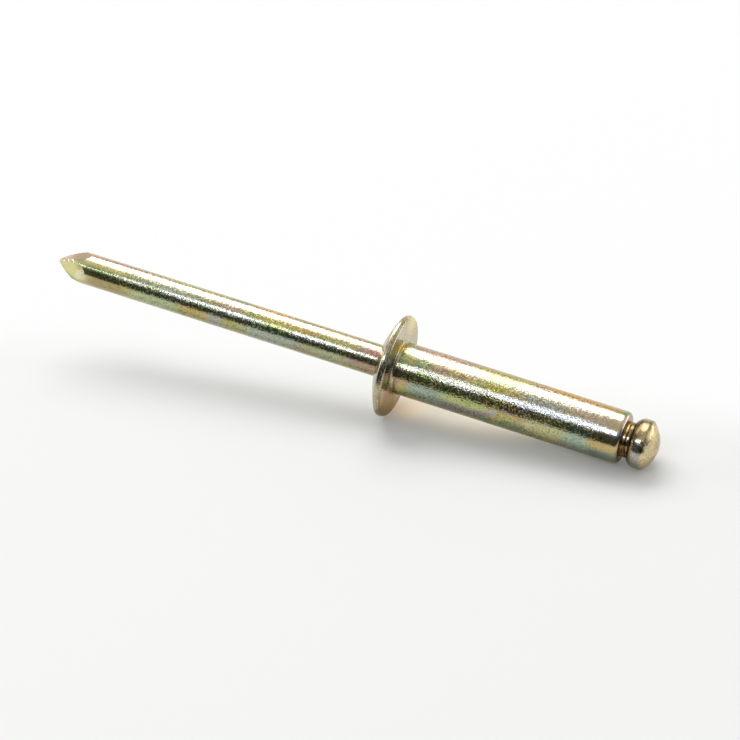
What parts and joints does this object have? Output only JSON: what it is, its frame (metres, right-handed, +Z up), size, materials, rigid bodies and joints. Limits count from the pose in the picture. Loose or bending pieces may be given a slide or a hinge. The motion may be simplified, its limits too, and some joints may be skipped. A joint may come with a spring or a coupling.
{
  "type": "blind rivet",
  "caption": "Unset open-end blind rivet: tubular body with a low domed flange and a pointed mandrel with a round head, in yellow zinc-plated steel, lying at rest.",
  "frame": {"origin": "Middle of the footprint of the resting rivet, on the surface that it lies on.", "axes": "+X runs along the rivet towards its blind end, which is the end with the mandrel head, and +Z is up. The rivet's own axis lies in the XZ plane and falls towards +X by 5.9 degrees, because it rests on its flange and its mandrel head."},
  "size_m": [0.0486, 0.0078, 0.0079],
  "materials": {
    "body_finish": "yellow chromated zinc on steel, with an uneven rainbow tint",
    "mandrel_finish": "yellow chromated zinc on drawn steel wire, with an uneven rainbow tint"
  },
  "bodies": {
    "root": {"rivet_body": "body_finish", "mandrel": "mandrel_finish"}
  },
  "joints": []
}
